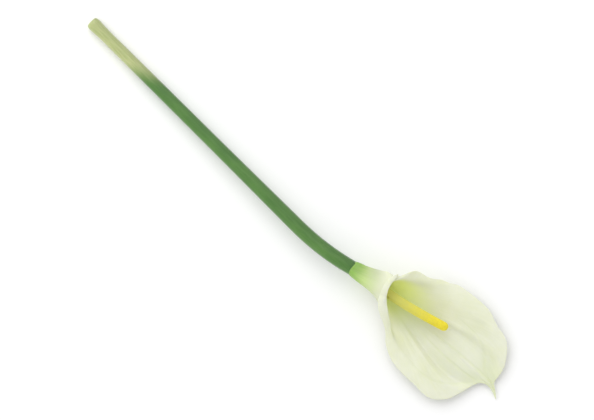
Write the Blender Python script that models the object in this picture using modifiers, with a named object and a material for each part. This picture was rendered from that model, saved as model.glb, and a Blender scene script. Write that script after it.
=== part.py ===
"""A cut calla lily: a stem, the spathe rolled round its top and the spadix inside it.

The flower lies on its back. +X runs from the cut end of the stem to the tail of the
spathe, +Z is up and the open face of the spathe looks up. The origin is on the surface
that the flower lies on, under the middle of the flower. Lengths are in millimetres and
angles in degrees. Turn is the angle round the tube: 0 is the midrib underneath, a
positive turn goes up the right side, towards +Y, and 180 is the front, on top.
"""

import math

import bmesh
import bpy
import numpy as np

MM = 0.001
GAP = 0.35
BLADE = 1.0

# The foot of the spathe, which clasps the top of the stem.
FOOT = np.array((55.5, -8.9, 15.6))
FOOT_HEADING = 15.0
FOOT_PITCH = -2.0
FOOT_RADIUS = 5.05
FOOT_TONGUE = 1.2
FOOT_WRAP = 0.8875
TUBE_FLARE = 0.16

# The throat, where the tube opens into the limb. The outer flap wraps the inner one.
THROAT = np.array((79.0, -5.0, 14.2))
THROAT_RADIUS = 9.8
THROAT_HEADING = 8.0
LAP = BLADE + 2 * GAP
FOOT_LAP_TURNS = (180.0, 215.0)
THROAT_LAP_TURNS = (150.0, 215.0)
THROAT_LINE = np.array((
    # turn, share of the way from the foot to the tail
    (-250, 0.145),
    (-180, 0.190),
    (-110, 0.228),
    (-50, 0.240),
    (50, 0.240),
    (100, 0.202),
    (150, 0.176),
))

# The limb, from the lip to the tip of the tail.
LIMB_LENGTH = 105.0
LIMB_HALF_WIDTH = 35.0
LIP_HEIGHT = 28.0
BLOOM_LENGTH = THROAT[0] - FOOT[0] + LIMB_LENGTH
RIM = np.array((
    # turn, then shares of the limb's length, half width and lip height
    (-250, 0.008, 0.263, 0.66),
    (-225, 0.000, 0.250, 0.86),
    (-200, -0.015, 0.130, 0.97),
    (-180, -0.017, 0.000, 1.00),
    (-155, 0.000, -0.170, 0.98),
    (-130, 0.032, -0.350, 0.87),
    (-110, 0.086, -0.495, 0.65),
    (-95, 0.190, -0.640, 0.47),
    (-83, 0.267, -0.850, 0.37),
    (-71, 0.380, -0.990, 0.31),
    (-58, 0.562, -1.000, 0.29),
    (-47, 0.686, -0.980, 0.27),
    (-36, 0.775, -0.765, 0.23),
    (-25, 0.815, -0.430, 0.19),
    (-15, 0.836, -0.205, 0.16),
    (-8, 0.863, -0.080, 0.16),
    (-4, 0.905, -0.030, 0.15),
    (0, 1.000, 0.010, 0.13),
    (4, 0.928, 0.070, 0.16),
    (8, 0.912, 0.130, 0.17),
    (15, 0.907, 0.245, 0.19),
    (25, 0.882, 0.480, 0.22),
    (36, 0.783, 0.815, 0.27),
    (45, 0.672, 0.895, 0.30),
    (54, 0.576, 0.990, 0.31),
    (68, 0.380, 0.955, 0.33),
    (77, 0.310, 0.905, 0.36),
    (83, 0.272, 0.825, 0.39),
    (89, 0.223, 0.770, 0.43),
    (95, 0.177, 0.655, 0.49),
    (107, 0.084, 0.575, 0.62),
    (118, 0.054, 0.485, 0.71),
    (130, 0.030, 0.320, 0.74),
    (150, -0.004, 0.160, 0.74),
))

# How the blade leaves the throat: fanned sideways, sinking at the back, rising in front.
LIMB_HEADING = 3.5
FAN = 41.0
LEAVING_PITCH = np.array((
    # size of the turn, pitch
    (0, -10.0),
    (50, -16.0),
    (90, -6.0),
    (130, 18.0),
    (180, 38.0),
    (250, 38.0),
))
# How it meets the free edge: the veins by the midrib gather at the tail, the sides roll
# down a little, the lip of the outer flap folds right over and the inner flap stands up.
GATHER = 50.0
GATHER_TURN = 22.0
DIP_BACK = -4.0
DIP_SIDE = -13.0
LIP_TURNS = (70.0, 120.0)
LIP_REACH = 5.5
LIP_ROLL = 10.0
INNER_FLAP_TURNS = (85.0, 115.0)
INNER_FLAP_RISE = 18.0

# The lip leans in over the left side of the throat: its turn, half width in turn and reach.
LEAN_TURN = -112.0
LEAN_HALF_WIDTH = 34.0
LEAN = np.array((0.5, 4.5, 2.0))

# The sides of the limb are evened out over this many degrees of turn.
EVENED_TURNS = 14.0

# Ridges and hollows of the limb: turn, height and half width in turn. The hollow on each
# side of the midrib is where the bloom rests.
RIBS = (
    (0.0, 1.1, 2.8),
    (13.0, -2.0, 5.0),
    (-18.0, -2.05, 6.0),
    (20.0, 0.8, 4.0),
    (-27.0, 0.7, 4.5),
    (-40.0, 0.4, 4.0),
)

# The tail hooks to the left and down.
TAIL_LENGTH = 11.0
TAIL_HOOK = 4.6
TAIL_DROP = 1.0

# Columns of the blade on each side of the midrib, and its rows.
LEFT_COLUMNS = 46
RIGHT_COLUMNS = 38
TUBE_ROWS = 7
LIMB_ROWS = 24

# The stem: a straight run up from the cut end, then a gentle bend into the spathe. Its
# ribbed underside is a share of the full radius below its middle at the cut end.
STEM_CUT_END = np.array((-181.0, -14.5))
STEM_BEND = np.array((10.0, -14.8, 13.4))
STEM_RADIUS = 4.0
STEM_RADIUS_TOP = 4.95
CUT_END_SWELLING = 0.55
CUT_END_DEPTH = 0.976
PEG_LENGTH = 7.0
PEG_RADIUS = FOOT_RADIUS - BLADE / 2 - 1.3 * GAP
STEM_RIBS = 12
STEM_RIB_SHARE = 0.02
STEM_SPACING = 7.0

# The spadix stands on the end of the stem, inside the tube, and leans out of the throat.
SPADIX_GAP = 0.9
SPADIX_START = (4.0, -4.0)
SPADIX_TIP = np.array((127.6, 6.8, 13.0))
SPADIX_END = (17.0, 3.0)
SPADIX_RADIUS = 2.95
SPADIX_RADIUS_TIP = 2.65
FLORETS_AROUND = 12
FLORET_ROWS = 76
FLORET_HEIGHT = 0.26


def smooth_step(value, low, high):
    part = np.clip((value - low) / (high - low), 0.0, 1.0)
    return part * part * (3 - 2 * part)


def heading(turned, pitch=0.0):
    """The unit direction that is turned from +X towards +Y and then pitched up."""
    turned, pitch = np.radians(turned), np.radians(pitch)
    return np.stack(np.broadcast_arrays(
        np.cos(turned) * np.cos(pitch),
        np.sin(turned) * np.cos(pitch),
        np.sin(pitch),
    ), axis=-1)


def hermite(start, start_slope, end, end_slope, part):
    """The cubic that leaves start along start_slope and meets end along end_slope."""
    two, three = part ** 2, part ** 3
    return (
        (2 * three - 3 * two + 1) * start
        + (three - 2 * two + part) * start_slope
        + (3 * two - 2 * three) * end
        + (three - two) * end_slope
    )


def through(knots, at):
    """A smooth curve through the rows of knots, whose first column is where they lie."""
    where, values = knots[:, 0], knots[:, 1:]
    slopes = np.gradient(values, where, axis=0)
    left = np.clip(np.searchsorted(where, at, side="right") - 1, 0, len(where) - 2)
    span = (where[left + 1] - where[left])[:, None]
    part = (at - where[left])[:, None] / span
    return hermite(
        values[left], slopes[left] * span, values[left + 1], slopes[left + 1] * span, part
    )


def along_line(line, distances):
    """Points and unit directions at distances along a finely divided line."""
    steps = np.linalg.norm(np.diff(line, axis=0), axis=1)
    reached = np.concatenate(((0.0,), np.cumsum(steps)))
    ahead = np.gradient(line, reached, axis=0)
    points = np.stack([np.interp(distances, reached, axis) for axis in line.T], axis=1)
    directions = np.stack([np.interp(distances, reached, axis) for axis in ahead.T], axis=1)
    return points, directions / np.linalg.norm(directions, axis=1)[:, None]


def outwards(axis_heading, axis_pitch, turn):
    """The unit directions out from a tube's axis at each turn."""
    side = heading(axis_heading + 90.0)
    up = heading(axis_heading, axis_pitch + 90.0)
    angle = np.radians(turn)[:, None]
    return np.sin(angle) * side - np.cos(angle) * up


def lap_over(turn, turns):
    """How far the outer flap stands off the inner one that it wraps."""
    return (LAP * smooth_step(-turn, *turns))[:, None]


def foot_ring(turn):
    """The lower end of the tube, whose front and back reach down the stem as tongues."""
    tongue = FOOT_TONGUE * np.cos(np.radians(turn))[:, None] ** 2
    out = outwards(FOOT_HEADING, FOOT_PITCH, turn * FOOT_WRAP)
    radius = FOOT_RADIUS + lap_over(turn, FOOT_LAP_TURNS)
    return FOOT + radius * out - tongue * heading(FOOT_HEADING)


def throat_ring(turn):
    along = FOOT[0] + through(THROAT_LINE, turn) * BLOOM_LENGTH
    centre = FOOT + (THROAT - FOOT) * np.minimum((along - FOOT[0]) / (THROAT[0] - FOOT[0]), 1.0)
    centre[:, :1] = along
    radius = THROAT_RADIUS + lap_over(turn, THROAT_LAP_TURNS)
    return centre + radius * outwards(THROAT_HEADING, 0.0, turn)


def free_edge(turn):
    origin = (THROAT[0], 0.0, 0.0)
    return origin + through(RIM, turn) * (LIMB_LENGTH, LIMB_HALF_WIDTH, LIP_HEIGHT)


def leaving_throat(turn):
    """The directions in which the blade leaves the throat."""
    sideways = np.sin(np.radians(turn))
    fanned = LIMB_HEADING + FAN * sideways * np.abs(sideways)
    return heading(fanned, through(LEAVING_PITCH, np.abs(turn))[:, 0])


def meeting_edge(turn):
    """The directions in which the blade reaches its free edge."""
    size = np.abs(turn)
    nearness = size / GATHER_TURN
    gathered = GATHER * (nearness * np.exp(1 - nearness)) ** 2
    dip = DIP_BACK + (DIP_SIDE - DIP_BACK) * smooth_step(size, 15.0, 50.0)
    dip += INNER_FLAP_RISE * smooth_step(turn, *INNER_FLAP_TURNS)
    return heading(turn - np.sign(turn) * gathered, dip)


def columns_of_turn():
    """The columns of the blade, closer together towards the midrib and the tail."""
    def spread(count, reach):
        step = np.arange(1, count + 1) / count
        return reach * (0.32 * step + 0.68 * step ** 2)
    left = spread(LEFT_COLUMNS, RIM[0, 0])[::-1]
    return np.concatenate((left, (0.0,), spread(RIGHT_COLUMNS, RIM[-1, 0])))


def blade_points(turn):
    """The middle surface of the spathe, as rows from the foot to the free edge."""
    foot, throat, edge = foot_ring(turn), throat_ring(turn), free_edge(turn)
    tube = np.linalg.norm(throat - foot, axis=1)[:, None]
    limb = np.linalg.norm(edge - throat, axis=1)[:, None]
    lip = smooth_step(-turn, *LIP_TURNS)[:, None]
    side = smooth_step(np.abs(turn), 30.0, 70.0)[:, None]
    axis = heading(FOOT_HEADING, FOOT_PITCH)
    climbing = tube * (axis + TUBE_FLARE * outwards(FOOT_HEADING, FOOT_PITCH, turn))
    opening = leaving_throat(turn)
    leaving = (limb + LIP_REACH * lip) * opening
    meeting = (limb * (1.0 - 0.4 * side) + LIP_ROLL * lip) * meeting_edge(turn)
    lean = LEAN * np.exp(-((turn - LEAN_TURN) / LEAN_HALF_WIDTH) ** 2)[:, None]
    rows = [hermite(foot, climbing, throat, tube * opening, step)
            for step in np.arange(TUBE_ROWS) / TUBE_ROWS]
    rows += [hermite(throat, leaving, edge, meeting, step) + lean * np.sin(np.pi * step) ** 2
             for step in np.arange(LIMB_ROWS + 1) / LIMB_ROWS]
    return np.array(rows)


def even_out(points, turn):
    """Smooth the sides of the limb from turn to turn, less and less towards the free edge."""
    nearness = np.exp(-((turn[:, None] - turn) / EVENED_TURNS) ** 2)
    nearness /= nearness.sum(axis=1)[:, None]
    sides = smooth_step(np.abs(turn), 18.0, 35.0)
    sides *= 1 - smooth_step(-turn, 85.0, 110.0)
    sides *= 1 - smooth_step(turn, 120.0, 145.0)
    along = np.linspace(0.0, 1.0, len(points))[:, None]
    share = sides * (1 - smooth_step(along, 0.65, 1.0))
    points += share[..., None] * (nearness @ points - points)


def raise_ribs(points, turn):
    """Shape the ridges and hollows, which fade towards the throat and the free edge."""
    along = np.linspace(0.0, 1.0, len(points))[:, None]
    strength = smooth_step(along, 0.30, 0.65) * (1 - smooth_step(along, 0.90, 1.0))
    for place, height, half_width in RIBS:
        points[..., 2] += height * strength * np.exp(-((turn - place) / half_width) ** 2)


def curl_tail(points):
    tail_from = THROAT[0] + LIMB_LENGTH - TAIL_LENGTH
    beyond = np.clip((points[..., 0] - tail_from) / TAIL_LENGTH, 0.0, None) ** 1.6
    points[..., 1] -= TAIL_HOOK * beyond
    points[..., 2] -= TAIL_DROP * beyond


def material(name, colour, roughness):
    made = bpy.data.materials.new(name)
    made.use_nodes = True
    shader = made.node_tree.nodes["Principled BSDF"]
    shader.inputs["Base Color"].default_value = (*colour, 1.0)
    shader.inputs["Roughness"].default_value = roughness
    return made


def add_piece(name, shape, look, carrier):
    """Turn a bmesh into a smooth-shaded piece of the flower that its carrier moves."""
    mesh = bpy.data.meshes.new(name)
    shape.to_mesh(mesh)
    shape.free()
    mesh.materials.append(look)
    mesh.shade_smooth()
    piece = bpy.data.objects.new(name, mesh)
    piece.parent = carrier
    carrier.users_collection[0].objects.link(piece)
    return piece


def make_spathe(carrier):
    """A grid bent into the rolled blade, then given its thickness."""
    turn = columns_of_turn()
    points = blade_points(turn)
    even_out(points, turn)
    raise_ribs(points, turn)
    curl_tail(points)
    last_row, last_column = points.shape[0] - 1, points.shape[1] - 1
    shape = bmesh.new()
    bmesh.ops.create_grid(shape, x_segments=last_column, y_segments=last_row, size=1.0)
    for vert in shape.verts:
        row = round((vert.co.y + 1) / 2 * last_row)
        column = round((vert.co.x + 1) / 2 * last_column)
        vert.co = points[row, column] * MM
    bmesh.ops.triangulate(shape, faces=shape.faces[:], quad_method="SHORT_EDGE")
    look = material("spathe", (0.775, 0.807, 0.604), 0.55)
    spathe = add_piece("spathe", shape, look, carrier)
    solid = spathe.modifiers.new("blade", "SOLIDIFY")
    solid.thickness = BLADE * MM
    solid.offset = 0.0
    return spathe


def stem_line(bed):
    """The stem's middle line, from the cut end, which rests on the bed, to the peg's end."""
    share = np.linspace(0.0, 1.0, 200)[:, None]
    lift = CUT_END_DEPTH * (STEM_RADIUS + CUT_END_SWELLING)
    cut_end = np.array((*STEM_CUT_END, bed + lift))
    run, bend = STEM_BEND - cut_end, FOOT - STEM_BEND
    reach = np.linalg.norm(bend)
    top = heading(FOOT_HEADING, FOOT_PITCH)
    straight = cut_end + run * share
    bent = hermite(STEM_BEND, run / np.linalg.norm(run) * reach, FOOT, top * reach, share)
    peg = FOOT + top * PEG_LENGTH * share
    return np.concatenate((straight[:-1], bent[:-1], peg))


def stem_profile(length):
    """Distances along the stem and its radius there: swollen cut end, shaft and peg."""
    neck = length - PEG_LENGTH - FOOT_TONGUE
    swollen = STEM_RADIUS + CUT_END_SWELLING
    return np.array((
        (0.0, swollen - 1.4),
        (0.5, swollen - 0.75),
        (1.7, swollen - 0.2),
        (3.6, swollen),
        (7.0, swollen - 0.3),
        (13.0, STEM_RADIUS),
        (neck / 2, (STEM_RADIUS + STEM_RADIUS_TOP) / 2 - 0.1),
        (neck - 1.6, STEM_RADIUS_TOP),
        (neck - 0.4, STEM_RADIUS_TOP - 0.15),
        (neck + 0.2, PEG_RADIUS),
        (length - 1.0, PEG_RADIUS),
        (length, PEG_RADIUS - 0.6),
    ))


def poly_curve(name, points):
    curve = bpy.data.curves.new(name, "CURVE")
    curve.dimensions = "3D"
    spline = curve.splines.new("POLY")
    spline.points.add(len(points) - 1)
    for point, place in zip(spline.points, points):
        point.co = (*place, 1.0)
    return curve


def ribbed_section():
    """The stem's section at a radius of 1 mm, which each point of the line scales."""
    turn = np.arange(2 * STEM_RIBS) * np.pi / STEM_RIBS
    radius = MM * (1 + STEM_RIB_SHARE / 2 * np.cos(turn * STEM_RIBS))
    section = poly_curve("stem section", np.stack(
        (radius * np.cos(turn), radius * np.sin(turn), np.zeros_like(turn)), axis=1
    ))
    section.splines[0].use_cyclic_u = True
    return bpy.data.objects.new("stem section", section)


def make_stem(line, carrier):
    """A ribbed section carried along the stem's line, capped and welded."""
    length = np.linalg.norm(np.diff(line, axis=0), axis=1).sum()
    profile = stem_profile(length)
    ends = profile[:, 0]
    runs = [np.linspace(start, end, math.ceil((end - start) / STEM_SPACING) + 1)[:-1]
            for start, end in zip(ends, ends[1:])]
    distances = np.concatenate((*runs, ends[-1:]))
    places, _ = along_line(line, distances)
    curve = poly_curve("stem line", places * MM)
    for point, radius in zip(curve.splines[0].points, np.interp(distances, *profile.T)):
        point.radius = radius
    section = ribbed_section()
    curve.bevel_mode = "OBJECT"
    curve.bevel_object = section
    curve.use_fill_caps = True
    swept = bpy.data.objects.new("stem line", curve)
    for helper in (section, swept):
        carrier.users_collection[0].objects.link(helper)
    depsgraph = bpy.context.evaluated_depsgraph_get()
    mesh = bpy.data.meshes.new_from_object(swept.evaluated_get(depsgraph))
    shape = bmesh.new()
    shape.from_mesh(mesh)
    for helper in (section, swept):
        bpy.data.objects.remove(helper, do_unlink=True)
    bmesh.ops.remove_doubles(shape, verts=shape.verts, dist=0.001 * MM)
    bmesh.ops.recalc_face_normals(shape, faces=shape.faces)
    return add_piece("stem", shape, material("stem", (0.115, 0.254, 0.070), 0.45), carrier)


def spadix_line(stem_end):
    share = np.linspace(0.0, 1.0, 200)[:, None]
    start = stem_end + SPADIX_GAP * heading(FOOT_HEADING, FOOT_PITCH)
    reach = np.linalg.norm(SPADIX_TIP - start)
    return hermite(
        start, heading(*SPADIX_START) * reach, SPADIX_TIP, heading(*SPADIX_END) * reach, share
    )


def spadix_rings(line):
    """Middles, directions, radii and floret heights of the spadix's rings of florets."""
    tip = SPADIX_RADIUS_TIP
    shaft = np.linalg.norm(np.diff(line, axis=0), axis=1).sum() - tip
    skin = np.linspace(0.0, shaft + tip * math.pi / 2, FLORET_ROWS + 1)
    rounding = np.maximum(skin - shaft, 0.0) / tip
    distances = np.minimum(skin, shaft) + tip * np.sin(rounding)
    taper = SPADIX_RADIUS + (tip - SPADIX_RADIUS) * distances / shaft
    middles, directions = along_line(line, distances)
    return middles, directions, taper * np.cos(rounding), FLORET_HEIGHT * np.cos(rounding)


def make_spadix(stem_end, carrier):
    """A ball drawn out along a line, whose every other vertex is raised as a floret."""
    middles, directions, radii, heights = spadix_rings(spadix_line(stem_end))
    sides = np.cross((0.0, 0.0, 1.0), directions)
    sides /= np.linalg.norm(sides, axis=1)[:, None]
    ups = np.cross(directions, sides)
    columns, rows = 2 * FLORETS_AROUND, len(middles)
    shape = bmesh.new()
    bmesh.ops.create_uvsphere(shape, u_segments=columns, v_segments=rows, radius=1.0)
    for vert in shape.verts:
        row = round(math.acos(max(-1.0, min(1.0, vert.co.z))) / math.pi * rows)
        angle = math.atan2(vert.co.y, vert.co.x)
        column = round(angle / (2 * math.pi) * columns)
        level = max(row - 1, 0)
        pole = row in (0, rows)
        reach = 0.0 if pole else radii[level] + heights[level] * ((row + column) % 2 - 0.5)
        out = math.sin(angle) * sides[level] + math.cos(angle) * ups[level]
        vert.co = (middles[level] + reach * out) * MM
    bmesh.ops.triangulate(shape, faces=shape.faces[:], quad_method="SHORT_EDGE")
    bmesh.ops.recalc_face_normals(shape, faces=shape.faces)
    return add_piece("spadix", shape, material("spadix", (0.807, 0.679, 0.045), 0.6), carrier)


def corners(pieces):
    """The low and high corners of the box round some pieces, in millimetres."""
    depsgraph = bpy.context.evaluated_depsgraph_get()
    depsgraph.update()
    boxes = [piece.evaluated_get(depsgraph).bound_box for piece in pieces]
    points = np.array(boxes).reshape(-1, 3)
    return points.min(axis=0) / MM, points.max(axis=0) / MM


def main():
    for thing in list(bpy.data.objects):
        bpy.data.objects.remove(thing, do_unlink=True)
    collection = bpy.data.collections.new("calla lily flower")
    bpy.context.scene.collection.children.link(collection)
    carrier = bpy.data.objects.new("carrier", None)
    collection.objects.link(carrier)
    spathe = make_spathe(carrier)
    bed = corners([spathe])[0][2]
    line = stem_line(bed)
    stem = make_stem(line, carrier)
    spadix = make_spadix(line[-1], carrier)
    low, high = corners([stem, spathe, spadix])
    middle = (low + high) / 2
    carrier.location = (-middle[0] * MM, -middle[1] * MM, -low[2] * MM)


main()
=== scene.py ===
"""A cut white calla lily lying on a pale table: its waxy stem, its spathe and its spadix.

The pieces are shaped in millimetres of the flower's own drawing, in which +X runs from the
cut end of the stem to the tail of the spathe and +Z points out of the open face. Turn is
the angle round the tube in degrees: 0 is the midrib underneath, a positive turn goes up
the right side, towards +Y, and 180 is the front, on top. The frame gives the drawing its
scale and its place.
"""
import math

import bmesh
import bpy
import numpy as np
from mathutils import Matrix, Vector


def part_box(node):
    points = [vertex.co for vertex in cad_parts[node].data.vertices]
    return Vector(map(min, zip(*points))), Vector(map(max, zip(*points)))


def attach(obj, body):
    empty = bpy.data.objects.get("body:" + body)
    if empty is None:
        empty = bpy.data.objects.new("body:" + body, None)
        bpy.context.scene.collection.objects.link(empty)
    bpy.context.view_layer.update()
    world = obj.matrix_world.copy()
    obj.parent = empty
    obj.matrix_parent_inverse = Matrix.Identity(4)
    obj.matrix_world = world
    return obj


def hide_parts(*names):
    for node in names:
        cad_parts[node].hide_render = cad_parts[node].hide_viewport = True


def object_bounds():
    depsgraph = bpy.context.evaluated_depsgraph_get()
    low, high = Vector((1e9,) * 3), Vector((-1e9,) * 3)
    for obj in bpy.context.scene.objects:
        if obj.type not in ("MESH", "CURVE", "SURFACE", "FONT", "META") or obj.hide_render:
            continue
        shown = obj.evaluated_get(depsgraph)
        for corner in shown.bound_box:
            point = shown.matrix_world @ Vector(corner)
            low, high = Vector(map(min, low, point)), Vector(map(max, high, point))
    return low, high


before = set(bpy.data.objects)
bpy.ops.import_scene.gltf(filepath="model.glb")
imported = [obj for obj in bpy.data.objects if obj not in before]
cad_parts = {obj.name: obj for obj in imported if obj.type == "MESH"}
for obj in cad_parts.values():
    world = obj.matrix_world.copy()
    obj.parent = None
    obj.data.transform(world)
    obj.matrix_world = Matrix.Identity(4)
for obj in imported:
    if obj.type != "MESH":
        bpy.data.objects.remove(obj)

CAD_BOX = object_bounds()

# ------------------------------------------------------------------ the drawing

# The foot of the spathe, which clasps the top of the stem.
FOOT = np.array((55.5, -8.9, 15.6))
FOOT_HEADING = 15.0
FOOT_PITCH = -2.0
FOOT_RADIUS = 5.05
FOOT_TONGUE = 1.2
FOOT_WRAP = 0.8875
TUBE_FLARE = 0.16

# The throat, where the tube opens into the limb. The outer flap wraps the inner one.
BLADE = 1.0
THROAT = np.array((79.0, -5.0, 14.2))
THROAT_RADIUS = 9.8
THROAT_HEADING = 8.0
LAP = 1.7
FOOT_LAP_TURNS = (180.0, 215.0)
THROAT_LAP_TURNS = (150.0, 215.0)
THROAT_LINE = np.array((
    # turn, share of the way from the foot to the tail
    (-250, 0.145),
    (-180, 0.190),
    (-110, 0.228),
    (-50, 0.240),
    (50, 0.240),
    (100, 0.202),
    (150, 0.176),
))

# The limb, from the lip to the tip of the tail.
LIMB_LENGTH = 105.0
LIMB_HALF_WIDTH = 35.0
LIP_HEIGHT = 28.0
BLOOM_LENGTH = THROAT[0] - FOOT[0] + LIMB_LENGTH
RIM = np.array((
    # turn, then shares of the limb's length, half width and lip height
    (-250, 0.008, 0.263, 0.66),
    (-225, 0.000, 0.250, 0.86),
    (-200, -0.015, 0.130, 0.97),
    (-180, -0.017, 0.000, 1.00),
    (-155, 0.000, -0.170, 0.98),
    (-130, 0.032, -0.350, 0.87),
    (-110, 0.086, -0.495, 0.65),
    (-95, 0.190, -0.640, 0.47),
    (-83, 0.267, -0.850, 0.37),
    (-71, 0.380, -0.990, 0.31),
    (-58, 0.562, -1.000, 0.29),
    (-47, 0.686, -0.980, 0.27),
    (-36, 0.775, -0.765, 0.23),
    (-25, 0.815, -0.430, 0.19),
    (-15, 0.836, -0.205, 0.16),
    (-8, 0.863, -0.080, 0.16),
    (-4, 0.905, -0.030, 0.15),
    (0, 1.000, 0.010, 0.13),
    (4, 0.928, 0.070, 0.16),
    (8, 0.912, 0.130, 0.17),
    (15, 0.907, 0.245, 0.19),
    (25, 0.882, 0.480, 0.22),
    (36, 0.783, 0.815, 0.27),
    (45, 0.672, 0.895, 0.30),
    (54, 0.576, 0.990, 0.31),
    (68, 0.380, 0.955, 0.33),
    (77, 0.310, 0.905, 0.36),
    (83, 0.272, 0.825, 0.39),
    (89, 0.223, 0.770, 0.43),
    (95, 0.177, 0.655, 0.49),
    (107, 0.084, 0.575, 0.62),
    (118, 0.054, 0.485, 0.71),
    (130, 0.030, 0.320, 0.74),
    (150, -0.004, 0.160, 0.74),
))

# How the blade leaves the throat: fanned sideways, sinking at the back, rising in front.
LIMB_HEADING = 3.5
FAN = 41.0
LEAVING_PITCH = np.array((
    # size of the turn, pitch
    (0, -10.0),
    (50, -16.0),
    (90, -6.0),
    (130, 18.0),
    (180, 38.0),
    (250, 38.0),
))
# How it meets the free edge: the veins by the midrib gather at the tail, the sides roll
# down a little, the lip of the outer flap folds right over and the inner flap stands up.
GATHER = 50.0
GATHER_TURN = 22.0
DIP_BACK = -4.0
DIP_SIDE = -13.0
DIP_TURNS = (15.0, 50.0)
SIDE_TURNS = (30.0, 70.0)
SIDE_EASED = 0.4
LIP_TURNS = (70.0, 120.0)
LIP_REACH = 5.5
LIP_ROLL = 10.0
INNER_FLAP_TURNS = (85.0, 115.0)
INNER_FLAP_RISE = 18.0

# The lip leans in over the left side of the throat: its turn, half width in turn and reach.
LEAN_TURN = -112.0
LEAN_HALF_WIDTH = 34.0
LEAN = np.array((0.6, 5.2, 2.3))

# The sides of the limb are evened out over so many degrees of turn. That sets in at the
# first turns, ends at the flaps and fades on the way up to the free edge.
EVENED_TURNS = 14.0
EVENED_FROM = (18.0, 35.0)
EVENED_TO_LEFT = (85.0, 110.0)
EVENED_TO_RIGHT = (120.0, 145.0)
EVENED_FADE = (0.65, 1.0)

# The fold of the lip is rounded over so many rows and degrees of turn, but for the rows
# within its margins.
ROUNDED_ROWS = 8.0
ROUNDED_TURNS = 12.0
ROUNDED_MARGIN = 8
FOLD_FROM = (80.0, 100.0)
FOLD_TO = (150.0, 175.0)

# Ridges and hollows of the limb: turn, height and half width in turn. They rise above the
# throat and fade at the free edge.
RIBS_RISE = (0.30, 0.65)
RIBS_FADE = (0.90, 1.0)
RIBS = (
    (0.0, 1.1, 2.8),
    (13.0, -2.0, 5.0),
    (-18.0, -2.05, 6.0),
    (20.0, 0.8, 4.0),
    (-27.0, 0.7, 4.5),
    (-40.0, 0.4, 4.0),
)

# The tail hooks to the left and down.
TAIL_LENGTH = 11.0
TAIL_HOOK = 4.6
TAIL_DROP = 1.0
TAIL_CURL = 1.6

# The blade thins to shares of its full thickness at its free edge and at its foot, which
# is drawn in on the stem.
RIM_THICKNESS = 0.5
RIM_THINNING = (0.5, 1.0)
FOOT_THICKNESS = 0.3
FOOT_THINNING = (0.0, 0.06)
FOOT_DRAWN_IN = 0.15
FOOT_DRAWN_LENGTH = 3.0

# The blade's columns beside the midrib, its rows, and how far up the tube reaches.
LEFT_COLUMNS = 92
RIGHT_COLUMNS = 76
COLUMN_EVENNESS = 0.32
TUBE_ROWS = 13
LIMB_ROWS = 44
TUBE_SHARE = 7 / 31

# The stem: a straight run up from the cut end, then a gentle bend into the spathe. Its
# ribbed underside is a share of the full radius below its middle at the cut end.
STEM_CUT_END = np.array((-181.0, -14.5))
STEM_BEND = np.array((10.0, -14.8, 13.4))
STEM_RADIUS = 4.0
STEM_RADIUS_TOP = 4.95
CUT_END_SWELLING = 0.55
CUT_END_DEPTH = 0.976
PEG_LENGTH = 7.0
PEG_RADIUS = 3.8
STEM_RIBS = 12
STEM_RIB_SHARE = 0.02
STEM_SIDES = 120
STEM_SPACING = 1.6
LINE_POINTS = 200

# Corners of a mesh that are this near each other, in metres, are one.
SEWN_WITHIN = 1e-7

# The spadix stands on the end of the stem, inside the tube, and leans out of the throat.
SPADIX_GAP = 0.9
SPADIX_START = (4.0, -4.0)
SPADIX_TIP = np.array((127.6, 6.8, 13.0))
SPADIX_END = (17.0, 3.0)
SPADIX_RADIUS = 2.95
SPADIX_RADIUS_TIP = 2.65
FLORETS = 1900
FLORET_RADIUS = 0.50
FLORET_HEIGHT = 0.75
FLORET_SIZES = (0.85, 1.15)
FLORET_SIZE_SEED = 8
FLORET_TINT_SEED = 3
FLORET_SEGMENTS = 8
FLORET_RINGS = 5
FLORET_SUNK = 0.2
GOLDEN_ANGLE = math.pi * (3 - math.sqrt(5))
CORE_RINGS = 140
CORE_SIDES = 24

# Colours, as shares of red, green and blue light.
IVORY = (0.72, 0.75, 0.55, 1.0)
IVORY_BRIGHT = (0.79, 0.81, 0.66, 1.0)
THROAT_GREEN = (0.84, 0.93, 0.33, 1.0)
TAIL_GREEN = (0.56, 0.64, 0.34, 1.0)
MIDRIB_GREEN = (0.62, 0.68, 0.38, 1.0)
TUBE_GREEN = (0.25, 0.50, 0.050, 1.0)
TUBE_PALE = (0.56, 0.74, 0.24, 1.0)
STEM_GREEN = (0.056, 0.165, 0.024, 1.0)
STEM_GREEN_BRIGHT = (0.078, 0.205, 0.032, 1.0)
STEM_GREEN_LIGHT = (0.105, 0.235, 0.050, 1.0)
STEM_PALE = (0.37, 0.43, 0.165, 1.0)
STEM_PALE_BRIGHT = (0.48, 0.52, 0.24, 1.0)
PORE = (0.30, 0.36, 0.14, 1.0)
SPADIX_YELLOW = (0.86, 0.70, 0.022, 1.0)
SPADIX_BRIGHT = (0.93, 0.80, 0.040, 1.0)
SPADIX_SHADED_OLIVE = (0.77, 0.75, 0.175, 1.0)
POLLEN = (0.92, 0.84, 0.10, 1.0)
FLOOR_WHITE = (0.965, 0.965, 0.965)

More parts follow.
